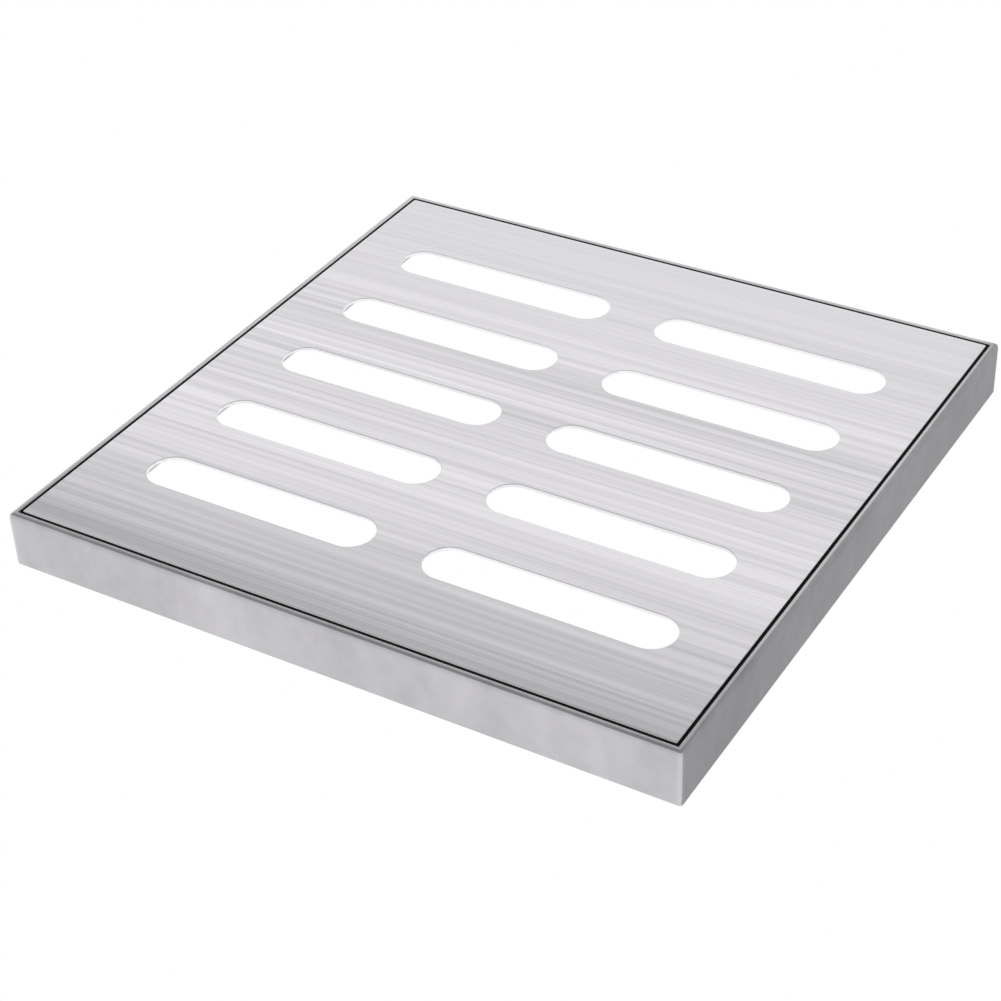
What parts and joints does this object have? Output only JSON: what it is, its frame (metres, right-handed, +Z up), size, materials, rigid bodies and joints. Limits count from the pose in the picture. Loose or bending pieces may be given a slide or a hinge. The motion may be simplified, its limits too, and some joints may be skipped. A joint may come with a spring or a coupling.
{
  "type": "floor drain grate",
  "caption": "Square flush floor drain grate: a slotted stainless cover plate that lifts out of a low angle frame, on a black rubber gasket.",
  "frame": {"origin": "centre of the frame's underside", "axes": "+Z up, out of the floor; X along the slots; Y across the slot rows"},
  "size_m": [0.3, 0.3, 0.025],
  "materials": {
    "frame_steel": "satin stainless, ground corners",
    "plate_steel": "brushed stainless, long grain along the slots",
    "bar_steel": "mill-finished stainless flat bar",
    "weld_steel": "stainless weld bead",
    "gasket_rubber": "matt black rubber"
  },
  "bodies": {
    "frame": {"frame_rail_front": "frame_steel", "frame_rail_right": "frame_steel", "frame_rail_back": "frame_steel", "frame_rail_left": "frame_steel", "frame_corner_welds": "weld_steel", "gasket_cushion_front": "gasket_rubber", "gasket_cushion_right": "gasket_rubber", "gasket_cushion_back": "gasket_rubber", "gasket_cushion_left": "gasket_rubber", "gasket_strip_front": "gasket_rubber", "gasket_strip_right": "gasket_rubber", "gasket_strip_back": "gasket_rubber", "gasket_strip_left": "gasket_rubber"},
    "cover": {"cover_plate": "plate_steel", "skirt_front": "bar_steel", "skirt_right": "bar_steel", "skirt_back": "bar_steel", "skirt_left": "bar_steel", "cross_rib_1": "bar_steel", "cross_rib_2": "bar_steel", "cross_rib_3": "bar_steel", "cross_rib_4": "bar_steel", "centre_spine": "bar_steel", "rib_welds": "weld_steel", "spine_welds": "weld_steel", "skirt_welds": "weld_steel"}
  },
  "joints": [
    {"name": "cover_lift", "type": "slide", "parent": "frame", "child": "cover", "axis": [0, 0, 1], "range_m": [0, 0.06]}
  ]
}
